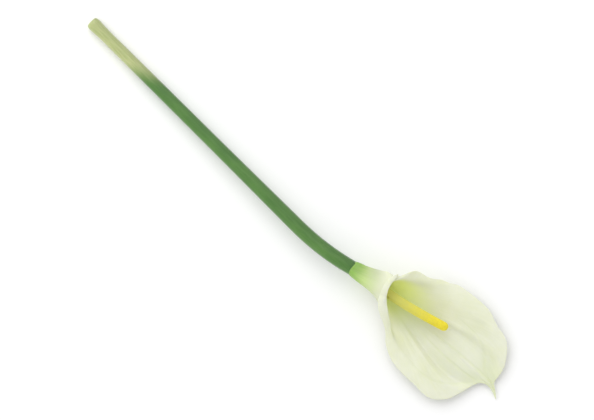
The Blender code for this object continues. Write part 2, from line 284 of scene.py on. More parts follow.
# Fine patterns: scales per metre of the piece, and relief as a depth in metres and a
# strength. Veins lie so many degrees of turn apart, wander on the way up and show in the
# clouds of the face too. Streaks are drawn out along the stem.
CLOUD_SCALE = 55.0
CLOUD_RELIEF = (0.0012, 0.25)
VEIN_SPACING = 2.2
VEIN_WANDER = 5.0
VEINS_IN_CLOUDS = 0.3
FACE_VEIN_RELIEF = (0.00025, 0.5)
BACK_VEIN_RELIEF = (0.0004, 0.6)
STREAK_SCALE = 1400.0
STREAK_STRETCH = (0.06, 1.0, 1.0)
STREAK_RELIEF = (0.0003, 0.5)
STEM_CLOUD_SCALE = 130.0
STEM_CLOUD_STRETCH = (0.35, 1.0, 1.0)
STEM_CLOUD_RELIEF = (0.0010, 0.3)
SPECK_SCALE = 1700.0
PORE_SCALE = 2600.0
POLLEN_SCALE = 6000.0
POLLEN_RELIEF = (0.0001, 0.6)

# The values of a pattern between which its second colour sets in.
IVORY_CLOUDS = (0.35, 0.95)
BACK_CLOUDS = (0.3, 0.8)
STEM_CLOUDS = (0.3, 0.7)
STREAKS_IN_GREEN = (0.35, 0.75)
STREAKS_IN_PALE = (0.3, 0.7)
SPECKS = (0.74, 0.84)
PORES = (0.1, 0.5)
POLLEN_GRAINS = (0.35, 0.75)

# Creases pressed into the limb: turn at the foot, how much it changes on the way up to the
# free edge, and half width in turn. Two run beside the midrib and two come in to the tail.
# They are so many times as deep as the veins, and tinted green and darker with painted shade.
MIDRIB_CREASES = (
    (2.6, 0.0, 1.5),
    (-8.6, 0.0, 1.5),
)
SIDE_CREASES = (
    (97.0, -100.0, 3.0),
    (-168.0, 160.0, 4.0),
)
MIDRIB_CREASES_UP = (0.45, 0.62)
SIDE_CREASES_UP = (0.60, 0.72)
SIDE_CREASES_SHARE = 0.6
CREASES_FADE = (0.93, 0.99)
CREASE_DEPTH = 1.5
CREASE_TINT_AND_SHADE = 0.28

# Where the face of the spathe changes colour, in degrees of turn and in shares of the way
# up, and by how much: at the tail, in the hollows before it (a green tint with painted shade)
# and in the throat, and painted light on the lip and on the left side, against the shade of
# the folded lip. The veins shift these places a little.
FACE_UNEVENNESS = 0.06
TAIL_TURNS = (6.0, 24.0)
TAIL_UP = (0.72, 0.98)
TAIL_TINT = 0.4
HOLLOW_TURNS = (15.0, 55.0)
HOLLOW_UP = (0.35, 0.62)
HOLLOW_TINT_AND_SHADE = 0.45
THROAT_UP = (0.16, 0.50)
THROAT_SLANT = 0.0014
PAINTED_LIGHT_LIP_FROM = (-148.0, -136.0)
PAINTED_LIGHT_LIP_TO = (-125.0, -95.0)
PAINTED_LIGHT_LIP_GAIN = 0.20
PAINTED_LIGHT_SIDE_FROM = (-95.0, -62.0)
PAINTED_LIGHT_SIDE_TO = (-62.0, -25.0)
PAINTED_LIGHT_SIDE_UP = (0.42, 0.68)
PAINTED_LIGHT_SIDE_GAIN = 0.18

# Where the back of the spathe does: at the foot, up the tube, down its right side with
# painted shade on the tube, along the midrib and in clouds.
BACK_UNEVENNESS = 0.05
FOOT_GREEN_UP = (0.01, 0.11)
TUBE_PALE_UP = (0.05, 0.22)
TUBE_PAINTED_SHADE_UP = (0.12, 0.26)
TUBE_PAINTED_SHADE_SIDE = (-0.2, 1.0)
TUBE_PAINTED_SHADE = 0.22
BACK_MIDRIB_TURNS = (1.5, 7.0)
BACK_MIDRIB_UP = (0.5, 1.0)
BACK_MIDRIB_FADE = 0.4
BACK_MIDRIB_TINT = 0.6
BACK_CLOUD_TINT = 0.35

# Where the stem changes colour, in millimetres from its cut end, and by how much. Painted shade
# darkens its right side and painted light brightens its left.
BLEACHED = (38.0, 62.0)
BLEACH_SLANT = -6.0
BLEACH_RAGGED = 9.0
SPECKED = (190.0, 235.0)
SPECK_TINT = 0.25
STREAK_TINT = 0.5
CUT_RIM = (-0.6, 0.1)
STEM_BRIGHTNESS = 0.96
STEM_SIDE_PAINTED_SHADE = 0.20

# Where the spadix turns from the olive of painted shade low in the tube to yellow, in shares of
# its height, and its pollen.
PAINTED_SHADE_IN_TUBE = (0.40, 0.95)
UNEVEN_PAINTED_SHADE = 0.1
POLLEN_TINT = 0.4

# How rough each skin is, and how much its pattern adds from its lows to its highs.
FACE_ROUGHNESS = 0.50
BACK_ROUGHNESS = 0.48
VEIN_ROUGHNESS = 0.12
STEM_ROUGHNESS = 0.38
STREAK_ROUGHNESS = 0.14
SPADIX_ROUGHNESS = 0.62
POLLEN_ROUGHNESS = 0.15

# How light enters the flesh of each piece and glances off its skin.
SPATHE_FLESH = {
    "Subsurface Weight": 0.35,
    "Subsurface Radius": (0.0018, 0.0018, 0.0010),
    "Subsurface Scale": 1.0,
    "Specular IOR Level": 0.35,
}
STEM_FLESH = {
    "Subsurface Weight": 0.12,
    "Subsurface Radius": (0.002, 0.003, 0.001),
    "Subsurface Scale": 1.0,
    "Specular IOR Level": 0.5,
    "Sheen Weight": 0.35,
    "Sheen Roughness": 0.35,
}
SPADIX_FLESH = {
    "Subsurface Weight": 0.15,
    "Subsurface Radius": (0.002, 0.0015, 0.0005),
    "Subsurface Scale": 1.0,
}

# The soft box, the table and the camera, in metres and degrees, but for the sensor, which
# is in millimetres.
SOFT_BOX_SIZE = 1.5
SOFT_BOX_DISTANCE = 1.5
SOFT_BOX_HEADING = 166.0
SOFT_BOX_HEIGHT = 48.0
SOFT_BOX_POWER = 11.5
SURROUND = 0.84
FLOOR_SIZE = 3.0
CAMERA_HEIGHT = 5.0
SENSOR_WIDTH = 36.0
CAMERA_TURN = 44.7
VIEW_WIDTH = 0.392
VIEW_SHIFT = (0.0011, -0.0073, 0.0)


# ------------------------------------------------------------------ curves and surfaces

def smooth_step(value, low, high):
    """0 below low and 1 above high, with a smooth rise between them."""
    part = np.clip((value - low) / (high - low), 0.0, 1.0)
    return part * part * (3 - 2 * part)


def heading(turned, pitch=0.0):
    """The unit direction that is turned from +X towards +Y and then pitched up."""
    turned, pitch = np.radians(turned), np.radians(pitch)
    return np.stack(np.broadcast_arrays(
        np.cos(turned) * np.cos(pitch),
        np.sin(turned) * np.cos(pitch),
        np.sin(pitch),
    ), axis=-1)


def hermite(start, start_slope, end, end_slope, part):
    """The cubic that leaves start along start_slope and meets end along end_slope."""
    two, three = part ** 2, part ** 3
    return (
        (2 * three - 3 * two + 1) * start
        + (three - 2 * two + part) * start_slope
        + (3 * two - 2 * three) * end
        + (three - two) * end_slope
    )


def through(knots, at):
    """A smooth curve through the rows of knots, whose first column is where they lie."""
    where, values = knots[:, 0], knots[:, 1:]
    slopes = np.gradient(values, where, axis=0)
    left = np.clip(np.searchsorted(where, at, side="right") - 1, 0, len(where) - 2)
    span = (where[left + 1] - where[left])[:, None]
    part = (at - where[left])[:, None] / span
    return hermite(
        values[left], slopes[left] * span, values[left + 1], slopes[left + 1] * span, part
    )


def distances_along(points):
    """The distance from the first of the points to each of them, from one to the next."""
    steps = np.linalg.norm(np.diff(points, axis=0), axis=1)
    return np.concatenate(((0.0,), np.cumsum(steps)))


def along_line(line, distances):
    """Points and unit directions at distances along a finely divided line."""
    reached = distances_along(line)
    ahead = np.gradient(line, reached, axis=0)
    points = np.stack([np.interp(distances, reached, axis) for axis in line.T], axis=1)
    directions = np.stack([np.interp(distances, reached, axis) for axis in ahead.T], axis=1)
    return points, directions / np.linalg.norm(directions, axis=1)[:, None]


def outwards(axis_heading, axis_pitch, turn):
    """The unit directions out from a tube's axis at each turn."""
    side = heading(axis_heading + 90.0)
    up = heading(axis_heading, axis_pitch + 90.0)
    angle = np.radians(turn)[:, None]
    return np.sin(angle) * side - np.cos(angle) * up


# ------------------------------------------------------------------ the spathe's form

def lap_over(turn, turns):
    """How far the outer flap stands off the inner one that it wraps."""
    return (LAP * smooth_step(-turn, *turns))[:, None]


def foot_ring(turn):
    """The lower end of the tube, whose front and back reach down the stem as tongues."""
    tongue = FOOT_TONGUE * np.cos(np.radians(turn))[:, None] ** 2
    out = outwards(FOOT_HEADING, FOOT_PITCH, turn * FOOT_WRAP)
    radius = FOOT_RADIUS + lap_over(turn, FOOT_LAP_TURNS)
    return FOOT + radius * out - tongue * heading(FOOT_HEADING)


def throat_ring(turn):
    """The line round the upper end of the tube, nearer the foot in front than at the back."""
    along = FOOT[0] + through(THROAT_LINE, turn) * BLOOM_LENGTH
    centre = FOOT + (THROAT - FOOT) * np.minimum((along - FOOT[0]) / (THROAT[0] - FOOT[0]), 1.0)
    centre[:, :1] = along
    radius = THROAT_RADIUS + lap_over(turn, THROAT_LAP_TURNS)
    return centre + radius * outwards(THROAT_HEADING, 0.0, turn)


def free_edge(turn):
    """The outline of the limb, with its waves, its lip and the tip of its tail."""
    origin = (THROAT[0], 0.0, 0.0)
    return origin + through(RIM, turn) * (LIMB_LENGTH, LIMB_HALF_WIDTH, LIP_HEIGHT)


def leaving_throat(turn):
    """The directions in which the blade leaves the throat."""
    sideways = np.sin(np.radians(turn))
    fanned = LIMB_HEADING + FAN * sideways * np.abs(sideways)
    return heading(fanned, through(LEAVING_PITCH, np.abs(turn))[:, 0])


def meeting_edge(turn):
    """The directions in which the blade reaches its free edge."""
    size = np.abs(turn)
    nearness = size / GATHER_TURN
    gathered = GATHER * (nearness * np.exp(1 - nearness)) ** 2
    dip = DIP_BACK + (DIP_SIDE - DIP_BACK) * smooth_step(size, *DIP_TURNS)
    dip += INNER_FLAP_RISE * smooth_step(turn, *INNER_FLAP_TURNS)
    return heading(turn - np.sign(turn) * gathered, dip)


def columns_of_turn():
    """The columns of the blade, closer together towards the midrib and the tail."""
    def spread(count, reach):
        step = np.arange(1, count + 1) / count
        return reach * (COLUMN_EVENNESS * step + (1 - COLUMN_EVENNESS) * step ** 2)

    left = spread(LEFT_COLUMNS, RIM[0, 0])[::-1]
    return np.concatenate((left, (0.0,), spread(RIGHT_COLUMNS, RIM[-1, 0])))


def blade_points(turn):
    """The middle surface of the spathe, as rows from the foot to the free edge."""
    foot, throat, edge = foot_ring(turn), throat_ring(turn), free_edge(turn)
    tube = np.linalg.norm(throat - foot, axis=1)[:, None]
    limb = np.linalg.norm(edge - throat, axis=1)[:, None]
    lip = smooth_step(-turn, *LIP_TURNS)[:, None]
    side = smooth_step(np.abs(turn), *SIDE_TURNS)[:, None]
    axis = heading(FOOT_HEADING, FOOT_PITCH)
    climbing = tube * (axis + TUBE_FLARE * outwards(FOOT_HEADING, FOOT_PITCH, turn))
    opening = leaving_throat(turn)
    leaving = (limb + LIP_REACH * lip) * opening
    meeting = (limb * (1 - SIDE_EASED * side) + LIP_ROLL * lip) * meeting_edge(turn)
    rows = [hermite(foot, climbing, throat, tube * opening, step)
            for step in np.arange(TUBE_ROWS) / TUBE_ROWS]
    lean = LEAN * np.exp(-((turn - LEAN_TURN) / LEAN_HALF_WIDTH) ** 2)[:, None]
    rows += [hermite(throat, leaving, edge, meeting, step) + lean * np.sin(np.pi * step) ** 2
             for step in np.arange(LIMB_ROWS + 1) / LIMB_ROWS]
    return np.array(rows)


def row_shares():
    """How far up the blade each row lies, from 0 at the foot to 1 at the free edge."""
    tube = np.linspace(0.0, TUBE_SHARE, TUBE_ROWS, endpoint=False)
    limb = np.linspace(TUBE_SHARE, 1.0, LIMB_ROWS + 1)
    return np.concatenate((tube, limb))


def neighbour_weights(places, reach):
    """The weights that blend each place with its neighbours within a reach."""
    weights = np.exp(-((places[:, None] - places) / reach) ** 2)
    return weights / weights.sum(axis=1)[:, None]


def even_out(points, turn):
    """Smooth the sides of the limb from turn to turn, less and less towards the free edge."""
    sides = smooth_step(np.abs(turn), *EVENED_FROM)
    sides *= 1 - smooth_step(-turn, *EVENED_TO_LEFT)
    sides *= 1 - smooth_step(turn, *EVENED_TO_RIGHT)
    share = sides * (1 - smooth_step(row_shares()[:, None], *EVENED_FADE))
    points += share[..., None] * (neighbour_weights(turn, EVENED_TURNS) @ points - points)


def round_lip(points, turn):
    """Space the rows evenly and open out the fold where the lip turns over most sharply."""
    limb = points[TUBE_ROWS:]
    rows = np.arange(len(limb))
    folded = smooth_step(-turn, *FOLD_FROM) * (1 - smooth_step(-turn, *FOLD_TO))
    for column in np.flatnonzero(folded):
        places = limb[:, column]
        reached = distances_along(places)
        even = np.interp(np.linspace(0.0, reached[-1], len(rows)), reached, rows)
        at = rows + folded[column] * (even - rows)
        limb[:, column] = np.stack([np.interp(at, rows, axis) for axis in places.T], axis=1)
    over_rows = np.tensordot(neighbour_weights(rows, ROUNDED_ROWS), limb, axes=1)
    rounded = neighbour_weights(turn, ROUNDED_TURNS) @ over_rows
    between = smooth_step(np.minimum(rows, LIMB_ROWS - rows), 0, ROUNDED_MARGIN)
    limb += (between[:, None] * folded)[..., None] * (rounded - limb)


def raise_ribs(points, turn):
    """Shape the ridges and hollows, which fade towards the throat and the free edge."""
    along = row_shares()[:, None]
    strength = smooth_step(along, *RIBS_RISE) * (1 - smooth_step(along, *RIBS_FADE))
    for place, height, half_width in RIBS:
        points[..., 2] += height * strength * np.exp(-((turn - place) / half_width) ** 2)


def curl_tail(points):
    """Bend the tip of the midrib sideways and down, more and more towards its end."""
    tail_from = THROAT[0] + LIMB_LENGTH - TAIL_LENGTH
    beyond = np.clip((points[..., 0] - tail_from) / TAIL_LENGTH, 0.0, None) ** TAIL_CURL
    points[..., 1] -= TAIL_HOOK * beyond
    points[..., 2] -= TAIL_DROP * beyond


def clasp_stem(points):
    """Draw the first millimetres of the tube in, so that its foot closes on the stem."""
    axis = heading(FOOT_HEADING, FOOT_PITCH)
    along = (points - FOOT) @ axis
    from_axis = points - FOOT - along[..., None] * axis
    radius = np.linalg.norm(from_axis, axis=2)
    drawn_in = FOOT_DRAWN_IN * (1 - smooth_step(along, -FOOT_TONGUE, FOOT_DRAWN_LENGTH))
    points -= from_axis / radius[..., None] * drawn_in[..., None]


def spathe_surface():
    """The turns of the blade's columns, and the points of its middle surface."""
    turn = columns_of_turn()
    points = blade_points(turn)
    even_out(points, turn)
    round_lip(points, turn)
    raise_ribs(points, turn)
    curl_tail(points)
    return turn, points


# ------------------------------------------------------------------ the frame

def drawing_on_frame():
    """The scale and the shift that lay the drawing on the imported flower."""
    spathe_low, spathe_high = (np.array(corner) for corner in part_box("spathe"))
    stem_low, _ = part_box("stem")
    _, points = spathe_surface()
    low, high = points.min(axis=(0, 1)), points.max(axis=(0, 1))
    scale = (spathe_high[0] - stem_low[0]) / (high[0] - STEM_CUT_END[0])
    shift = (spathe_low + spathe_high) / 2 - scale * (low + high) / 2
    shift[0] = spathe_high[0] - scale * high[0]
    shift[2] = spathe_low[2] - scale * (low[2] - BLADE / 2)
    return scale, shift


MM, SHIFT = drawing_on_frame()


# ------------------------------------------------------------------ node trees

class Socket:
    """A node's outlet, on which arithmetic adds Math nodes."""

    def __init__(self, tree, outlet):
        self.tree = tree
        self.outlet = outlet

    def other(self, name):
        """Another outlet of the same node."""
        return Socket(self.tree, socket_named(self.outlet.node.outputs, name))

    def __add__(self, other):
        return self.tree.maths("ADD", self, other)

    def __radd__(self, other):
        return self.tree.maths("ADD", other, self)

    def __sub__(self, other):
        return self.tree.maths("SUBTRACT", self, other)

    def __rsub__(self, other):
        return self.tree.maths("SUBTRACT", other, self)

    def __mul__(self, other):
        return self.tree.maths("MULTIPLY", self, other)

    def __rmul__(self, other):
        return self.tree.maths("MULTIPLY", other, self)

    def __truediv__(self, other):
        return self.tree.maths("DIVIDE", self, other)

    def __pow__(self, other):
        return self.tree.maths("POWER", self, other)


def socket_named(sockets, name):
    """The socket in use that has this name, or the one at this place in the list."""
    if isinstance(name, int):
        return sockets[name]
    return next(socket for socket in sockets if socket.enabled and socket.name == name)


class Tree:
    """A shader's or a Geometry Nodes tree, which grows from one method."""

    def __init__(self, tree):
        self.tree = tree

    def node(self, kind, settings=None, values=None, outlet=0):
        """Add a node: first its settings, then the values or the links of its sockets."""
        made = self.tree.nodes.new(kind)
        for name, setting in (settings or {}).items():
            setattr(made, name, setting)
        for name, value in (values or {}).items():
            socket = socket_named(made.inputs, name)
            if isinstance(value, Socket):
                self.tree.links.new(value.outlet, socket)
            else:
                socket.default_value = value
        if made.outputs:
            return Socket(self, socket_named(made.outputs, outlet))

    def maths(self, operation, *values):
        """Arithmetic on numbers."""
        return self.node("ShaderNodeMath", {"operation": operation}, dict(enumerate(values)))

    def vector(self, operation, *values):
        """Arithmetic on vectors."""
        return self.node("ShaderNodeVectorMath", {"operation": operation}, dict(enumerate(values)))

    def stretched(self, vector, by):
        """A vector or a colour times a number."""
        return self.node("ShaderNodeVectorMath", {"operation": "SCALE"}, {0: vector, "Scale": by})

    def rise(self, value, low, high):
        """0 below low and 1 above high, with a smooth rise between them."""
        ends = {"Value": value, "From Min": low, "From Max": high}
        return self.node("ShaderNodeMapRange", {"interpolation_type": "SMOOTHSTEP"}, ends)

    def fall(self, value, low, high):
        """1 below low and 0 above high, with a smooth fall between them."""
        return 1 - self.rise(value, low, high)

    def blend(self, part, first, second):
        """From the first colour to the second as part goes from 0 to 1."""
        colours = {"Factor": part, "A": first, "B": second}
        return self.node("ShaderNodeMix", {"data_type": "RGBA"}, colours, "Result")

    def noise(self, place, scale, detail=3.0):
        """Soft clouds of this scale, from 0 to 1, and their detail in octaves."""
        values = {"Vector": place, "Scale": scale, "Detail": detail}
        return self.node("ShaderNodeTexNoise", None, values)

    def attribute(self, name):
        """A value that the geometry carries."""
        return self.node("ShaderNodeAttribute", {"attribute_name": name}, None, "Fac")

    def bump(self, height, depth, strength, under=None):
        """A normal raised by a height from 0 to 1, which stands for a depth in metres."""
        values = {"Height": height, "Distance": depth, "Strength": strength}
        if under:
            values["Normal"] = under
        return self.node("ShaderNodeBump", None, values)

    def random(self, low, high, seed):
        """A number for each thing, picked evenly between low and high."""
        values = {"Min": low, "Max": high, "Seed": seed}
        return self.node("FunctionNodeRandomValue", {"data_type": "FLOAT"}, values, "Value")

    def keep(self, geometry, domain, name, value):
        """Store a value on the geometry as an attribute that the materials read."""
        settings = {"data_type": "FLOAT", "domain": domain}
        values = {"Geometry": geometry, "Name": name, "Value": value}
        return self.node("GeometryNodeStoreNamedAttribute", settings, values)

    def finish(self, parts, look):
        """Join the parts, make them plain geometry and give them their material."""
        joined = self.node("GeometryNodeJoinGeometry")
        for part in parts:
            self.tree.links.new(part.outlet, joined.outlet.node.inputs["Geometry"])
        real = self.node("GeometryNodeRealizeInstances", None, {"Geometry": joined})
        worn = self.node("GeometryNodeSetMaterial", None, {"Geometry": real, "Material": look})
        self.node("NodeGroupOutput", None, {"Geometry": worn})


# ------------------------------------------------------------------ looks

def look_of(name, skin):
    """A material whose skin function gives the sockets of its Principled shader."""
    look = bpy.data.materials.new(name)
    look.use_nodes = True
    look.node_tree.nodes.clear()
    tree = Tree(look.node_tree)
    shader = tree.node("ShaderNodeBsdfPrincipled", None, skin(tree))
    tree.node("ShaderNodeOutputMaterial", None, {"Surface": shader})
    return look


def skin_place(tree):
    """The two axes of a piece's own UV map."""
    skin = tree.node("ShaderNodeUVMap", {"uv_map": "skin"})
    split = tree.node("ShaderNodeSeparateXYZ", None, {"Vector": skin})
    return split, split.other("Y")


def on_piece(tree, stretch=(1.0, 1.0, 1.0)):
    """Object coordinates, stretched along the axes."""
    place = tree.node("ShaderNodeTexCoord", None, None, "Object")
    return tree.node("ShaderNodeMapping", None, {"Vector": place, "Scale": stretch})


def spathe_place(tree):
    """The turn round the spathe, its size whichever the side, and the way up."""
    across, up = skin_place(tree)
    turn = across * 360.0
    return turn, tree.maths("ABSOLUTE", turn), up


def spathe_veins(tree, turn, up):
    """Fine veins that run from the foot to the free edge, a little wavy and uneven."""
    values = {"X": turn / VEIN_SPACING, "Y": up * VEIN_WANDER}
    return tree.noise(tree.node("ShaderNodeCombineXYZ", None, values), 1.0)


def creases(tree, turn, up):
    """Fine lines pressed into the limb: both edges of the midrib and a fold on each side."""
    def pressed(lines, rising):
        depth = 0.0
        for start, change, half_width in lines:
            beside = tree.maths("ABSOLUTE", turn - (start + up * change))
            depth = depth + tree.fall(beside, 0.0, half_width)
        return depth * tree.rise(up, *rising)

    midrib = pressed(MIDRIB_CREASES, MIDRIB_CREASES_UP)
    sides = pressed(SIDE_CREASES, SIDE_CREASES_UP) * SIDE_CREASES_SHARE
    return (midrib + sides) * tree.fall(up, *CREASES_FADE)


def spathe_face(tree):
    """The face of the limb: creamy white, yellow green in the throat and at the tail, with painted
    shade in its creases and hollows and painted light on the lip and the left side.
    """
    turn, off_midrib, up = spathe_place(tree)
    veins = spathe_veins(tree, turn, up)
    pressed = creases(tree, turn, up)
    clouds = tree.noise(on_piece(tree), CLOUD_SCALE)
    cloudy = tree.rise(clouds + veins * VEINS_IN_CLOUDS, *IVORY_CLOUDS)
    colour = tree.blend(cloudy, IVORY, IVORY_BRIGHT)
    tail = tree.fall(off_midrib, *TAIL_TURNS) * tree.rise(up, *TAIL_UP)
    colour = tree.blend(tail * TAIL_TINT, colour, TAIL_GREEN)
    # The creases get a green tint and painted shade.
    colour = tree.blend(pressed * CREASE_TINT_AND_SHADE, colour, MIDRIB_GREEN)
    reach = up + (veins - 0.5) * FACE_UNEVENNESS
    # A green tint with painted shade from the spadix, low on the limb beside the midrib.
    green_tint_and_shade = tree.fall(reach, *HOLLOW_UP) * tree.fall(off_midrib, *HOLLOW_TURNS)
    colour = tree.blend(green_tint_and_shade * HOLLOW_TINT_AND_SHADE, colour, TAIL_GREEN)
    throat = tree.fall(reach - turn * THROAT_SLANT, *THROAT_UP)
    colour = tree.blend(throat, colour, THROAT_GREEN)
    # Painted light: the lip and the left side beside the throat are brightened against the shade
    # of the folded lip.
    lip = tree.rise(turn, *PAINTED_LIGHT_LIP_FROM) * tree.fall(turn, *PAINTED_LIGHT_LIP_TO)
    side = tree.rise(turn, *PAINTED_LIGHT_SIDE_FROM) * tree.fall(turn, *PAINTED_LIGHT_SIDE_TO)
    side = side * tree.fall(up, *PAINTED_LIGHT_SIDE_UP)
    painted_light = 1 + lip * PAINTED_LIGHT_LIP_GAIN + side * PAINTED_LIGHT_SIDE_GAIN
    relief = veins - pressed * CREASE_DEPTH
    swells = tree.bump(clouds, *CLOUD_RELIEF)
    return {
        "Base Color": tree.stretched(colour, painted_light),
        "Roughness": FACE_ROUGHNESS + (veins - 0.5) * VEIN_ROUGHNESS,
        "Normal": tree.bump(relief, *FACE_VEIN_RELIEF, swells),
        **SPATHE_FLESH,
    }


def spathe_back(tree):
    """The back of the spathe: green where it clasps the stem, fading to ivory upwards, and
    darkened by painted shade down the right side of the tube.
    """
    turn, off_midrib, up = spathe_place(tree)
    veins = spathe_veins(tree, turn, up)
    clouds = tree.noise(on_piece(tree), CLOUD_SCALE)
    reach = up + (veins - 0.5) * BACK_UNEVENNESS
    colour = tree.blend(tree.rise(reach, *FOOT_GREEN_UP), TUBE_GREEN, TUBE_PALE)
    colour = tree.blend(tree.rise(reach, *TUBE_PALE_UP), colour, IVORY)
    fading = 1 - tree.rise(up, *BACK_MIDRIB_UP) * BACK_MIDRIB_FADE
    midrib = tree.fall(off_midrib, *BACK_MIDRIB_TURNS) * fading
    colour = tree.blend(midrib * BACK_MIDRIB_TINT, colour, TAIL_GREEN)
    cloudy = tree.rise(clouds, *BACK_CLOUDS)
    colour = tree.blend(cloudy * BACK_CLOUD_TINT, colour, IVORY_BRIGHT)
    # Painted shade: the right side of the tube is darker, as if less light reached it.
    rightwards = tree.maths("SINE", tree.maths("RADIANS", turn))
    painted_shade = tree.rise(rightwards, *TUBE_PAINTED_SHADE_SIDE) * tree.fall(up, *TUBE_PAINTED_SHADE_UP)
    swells = tree.bump(clouds, *CLOUD_RELIEF)
    return {
        "Base Color": tree.stretched(colour, 1 - painted_shade * TUBE_PAINTED_SHADE),
        "Roughness": BACK_ROUGHNESS + (veins - 0.5) * VEIN_ROUGHNESS,
        "Normal": tree.bump(veins, *BACK_VEIN_RELIEF, swells),
        **SPATHE_FLESH,
    }


def stem_skin(tree):
    """Waxy green, streaked along its length and bleached towards the cut end, with painted shade
    down its right side and painted light down its left.
    """
    around, along = skin_place(tree)
    rightwards = tree.maths("SINE", around * math.tau)
    streaks = tree.noise(on_piece(tree, STREAK_STRETCH), STREAK_SCALE)
    clouds = tree.noise(on_piece(tree, STEM_CLOUD_STRETCH), STEM_CLOUD_SCALE)
    green = tree.blend(tree.rise(clouds, *STEM_CLOUDS), STEM_GREEN, STEM_GREEN_BRIGHT)
    streaky = tree.rise(streaks, *STREAKS_IN_GREEN) * STREAK_TINT
    green = tree.blend(streaky, green, STEM_GREEN_LIGHT)
    pale = tree.blend(tree.rise(streaks, *STREAKS_IN_PALE), STEM_PALE, STEM_PALE_BRIGHT)
    reach = along + rightwards * BLEACH_SLANT + (clouds - 0.5) * BLEACH_RAGGED
    colour = tree.blend(tree.rise(reach, *BLEACHED), pale, green)
    # Painted shade down the right side of the stem and painted light down its left.
    colour = tree.stretched(colour, STEM_BRIGHTNESS - rightwards * STEM_SIDE_PAINTED_SHADE)
    specks = tree.rise(tree.noise(on_piece(tree), SPECK_SCALE, 0.0), *SPECKS)
    specks = specks * tree.rise(along, *SPECKED)
    colour = tree.blend(specks * SPECK_TINT, colour, STEM_PALE_BRIGHT)
    swells = tree.bump(clouds, *STEM_CLOUD_RELIEF)
    return {
        "Base Color": tree.blend(tree.rise(along, *CUT_RIM), cut_flesh(tree), colour),
        "Roughness": STEM_ROUGHNESS + streaks * STREAK_ROUGHNESS,
        "Normal": tree.bump(streaks, *STREAK_RELIEF, swells),
        **STEM_FLESH,
    }


def cut_flesh(tree):
    """The colour of the cut face: pale, with darker pores."""
    values = {"Vector": on_piece(tree), "Scale": PORE_SCALE}
    cells = tree.node("ShaderNodeTexVoronoi", None, values)
    return tree.blend(tree.rise(cells, *PORES), PORE, STEM_PALE_BRIGHT)


def spadix_skin(tree):
    """Yolk yellow florets, each its own tone, turned olive by painted shade towards the bottom of
    the tube.
    """
    tint, height = tree.attribute("tint"), tree.attribute("height")
    yellow = tree.blend(tint, SPADIX_YELLOW, SPADIX_BRIGHT)
    pollen = tree.noise(on_piece(tree), POLLEN_SCALE, 2.0)
    colour = tree.blend(tree.rise(pollen, *POLLEN_GRAINS) * POLLEN_TINT, yellow, POLLEN)
    # Painted shade: olive low in the tube, yellow where the spadix comes out into the light.
    out_of_shade = tree.rise(height + (tint - 0.5) * UNEVEN_PAINTED_SHADE, *PAINTED_SHADE_IN_TUBE)
    return {
        "Base Color": tree.blend(out_of_shade, SPADIX_SHADED_OLIVE, colour),
        "Roughness": SPADIX_ROUGHNESS + pollen * POLLEN_ROUGHNESS,
        "Normal": tree.bump(pollen, *POLLEN_RELIEF),
        **SPADIX_FLESH,
    }


def table_skin(tree):
    """Matt, pale and even."""
    return {
        "Base Color": (*FLOOR_WHITE, 1.0),
        "Roughness": 0.9,
        "Specular IOR Level": 0.1,
    }


# ------------------------------------------------------------------ meshes

def sheet_mesh(name, points, across, along):
    """A grid of points in the drawing as a mesh, with across and along as its UV map.

    Where its columns meet, or an end row is a single point, the grid is sewn together.
    """
    rows, columns = points.shape[:2]
    shape = bmesh.new()
    bmesh.ops.create_grid(shape, x_segments=columns - 1, y_segments=rows - 1, size=1.0)
    surface_map = shape.loops.layers.uv.new("skin")
    places = {}
    for vert in shape.verts:
        row = round((vert.co.y + 1) / 2 * (rows - 1))
        column = round((vert.co.x + 1) / 2 * (columns - 1))
        for loop in vert.link_loops:
            loop[surface_map].uv = across[column], along[row]
        places[vert] = points[row, column]
    for vert, place in places.items():
        vert.co = SHIFT + MM * place
    bmesh.ops.remove_doubles(shape, verts=shape.verts, dist=SEWN_WITHIN)
    mesh = bpy.data.meshes.new(name)
    shape.to_mesh(mesh)
    shape.free()
    mesh.shade_smooth()
    return mesh


def show(mesh, node):
    """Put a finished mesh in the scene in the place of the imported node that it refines."""
    piece = bpy.data.objects.new(mesh.name, mesh)
    bpy.context.scene.collection.objects.link(piece)
    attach(piece, "root")
    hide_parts(node)
    return piece


# ------------------------------------------------------------------ the spathe

def make_spathe():
    """The rolled blade, which thins to its free edge and to the foot that clasps the stem."""
    turn, points = spathe_surface()
    clasp_stem(points)
    along = row_shares()
    mesh = sheet_mesh("spathe_blade", points, turn / 360.0, along)
    mesh.materials.append(look_of("spathe_back", spathe_back))
    mesh.materials.append(look_of("spathe_face", spathe_face))
    spathe = show(mesh, "spathe")
    thickness = spathe.vertex_groups.new(name="thickness")
    thinned = (1 - RIM_THICKNESS) * smooth_step(along, *RIM_THINNING)
    thinned += (1 - FOOT_THICKNESS) * (1 - smooth_step(along, *FOOT_THINNING))
    for vert in mesh.vertices:
        row = vert.index // len(turn)
        thickness.add([vert.index], 1 - thinned[row], "REPLACE")
    blade = spathe.modifiers.new("blade", "SOLIDIFY")
    blade.thickness = BLADE * MM
    blade.offset = 0.0
    blade.vertex_group = thickness.name
    blade.material_offset = 1
    rounding = spathe.modifiers.new("rounding", "SUBSURF")
    rounding.levels = 1
    rounding.render_levels = 1


# ------------------------------------------------------------------ the stem

